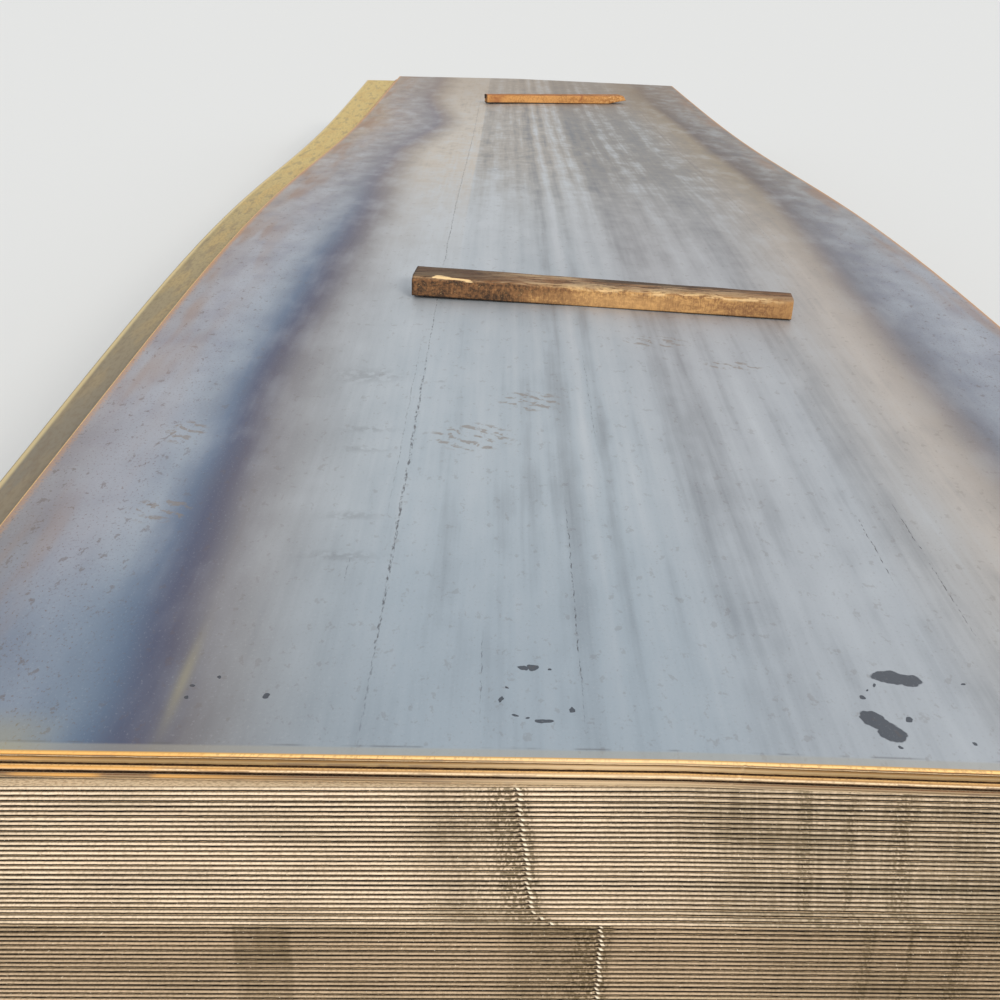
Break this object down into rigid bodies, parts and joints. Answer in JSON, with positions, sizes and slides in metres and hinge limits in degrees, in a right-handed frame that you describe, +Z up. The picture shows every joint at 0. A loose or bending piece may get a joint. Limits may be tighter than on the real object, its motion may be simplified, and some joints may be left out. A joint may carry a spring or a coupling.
{
  "type": "stack of hot-rolled steel plates",
  "caption": "Long low stack of thin hot-rolled steel plates with sheared ends, the top ones slewed and gently sprung, with two sawn timber battens lying across the top.",
  "frame": {"origin": "on the floor, under the middle of the whole stack", "axes": "+Z up, +Y along the plates away from the end seen in the picture, +X across them to the right as seen from that end"},
  "size_m": [1.6741, 6.0349, 0.451],
  "materials": {
    "plate_steel": "hot-rolled plate with sheared cream-grey edges and rust-brown gaps",
    "mill_scale": "blue-grey mill scale with darker heat-tinted bands and orange rust at the edges",
    "weathered_timber": "dirty sawn softwood, worn pale along the edges",
    "sawn_timber": "orange-tan sawn softwood with one splintered end"
  },
  "bodies": {
    "root": {"lower_lift": "plate_steel", "upper_lift": "plate_steel", "loose_plates": "plate_steel", "top_plate": "mill_scale", "near_batten": "weathered_timber", "far_batten": "sawn_timber"}
  },
  "joints": []
}
